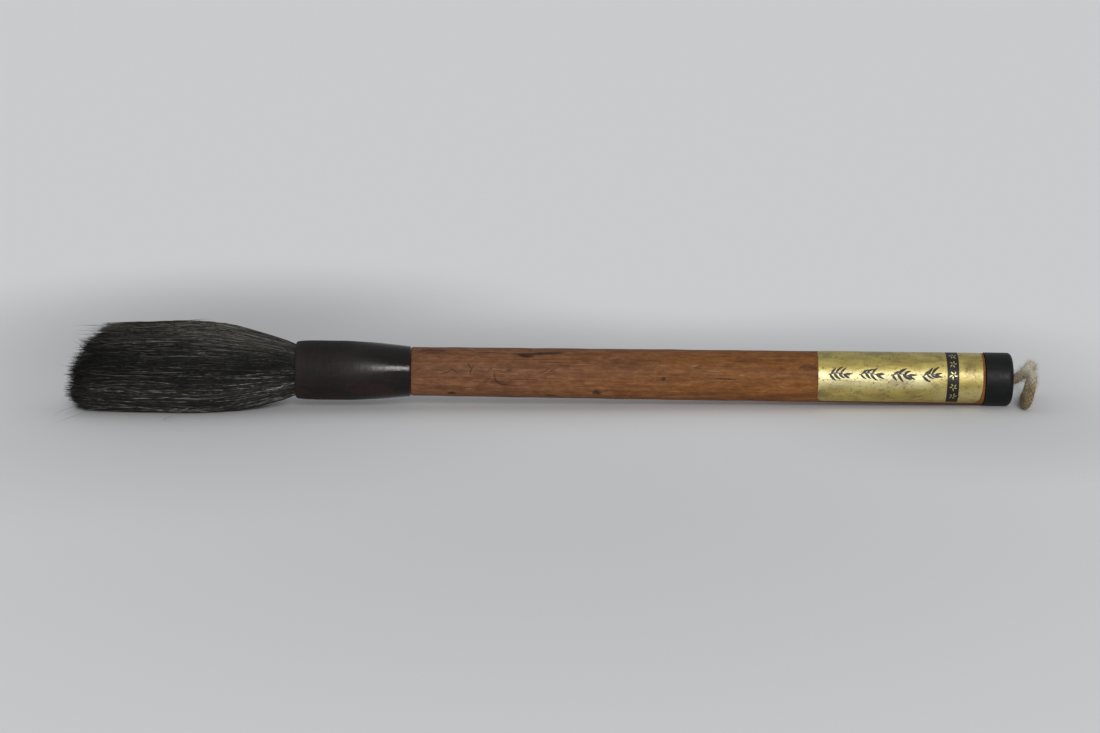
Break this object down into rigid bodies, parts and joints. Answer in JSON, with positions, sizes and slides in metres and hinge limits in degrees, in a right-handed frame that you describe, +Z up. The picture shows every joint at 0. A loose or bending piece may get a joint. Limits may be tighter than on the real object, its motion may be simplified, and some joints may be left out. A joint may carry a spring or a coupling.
{
  "type": "calligraphy brush",
  "caption": "Large ink brush: full hair tuft set in a turned horn socket, long bamboo handle with a foil label, and a horn end cap with a cotton hanging loop.",
  "frame": {"origin": "on the surface that the brush lies on, under the middle of the brush without its cord", "axes": "+X along the brush towards the end cap, +Z up, +Y away from the side that shows the label's front; the head end is raised by about one degree"},
  "size_m": [0.4082, 0.0398, 0.0372],
  "materials": {
    "hair": "dark animal hair, dry, straight, with a soft sheen along its length",
    "hair_root": "hair roots stiffened with glue",
    "thread": "waxed silk thread",
    "rosin": "hard brown rosin",
    "socket_horn": "polished dark horn, finely scratched",
    "bamboo": "aged red-brown bamboo, satin, with ink stains and nicks",
    "foil_paper": "gold foil paper, rubbed and soiled",
    "cap_horn": "black horn, worn satin",
    "cotton": "unbleached braided cotton cord, slightly soiled"
  },
  "bodies": {
    "brush": {"hair_root": "hair_root", "binding_thread": "thread", "rosin_bed": "rosin", "horn_socket": "socket_horn", "handle_tube": "bamboo", "foil_label": "foil_paper", "end_cap": "cap_horn", "cord_knot": "cotton"},
    "tuft": {"hair_core": "hair", "hair_belly": "hair", "hair_mantle": "hair"},
    "loop": {"cord_loop": "cotton"}
  },
  "joints": [
    {"name": "tuft_bend", "type": "hinge", "parent": "brush", "child": "tuft", "pos_m": [-0.11481, 0, 0.01675], "axis": [0, 0, 1], "range_deg": [-38, 38], "stiffness_Nm_per_rad": 0.15},
    {"name": "loop_swing", "type": "hinge", "parent": "brush", "child": "loop", "pos_m": [0.19954, 0, 0.01109], "axis": [0, -1, 0], "range_deg": [0, 45]}
  ]
}
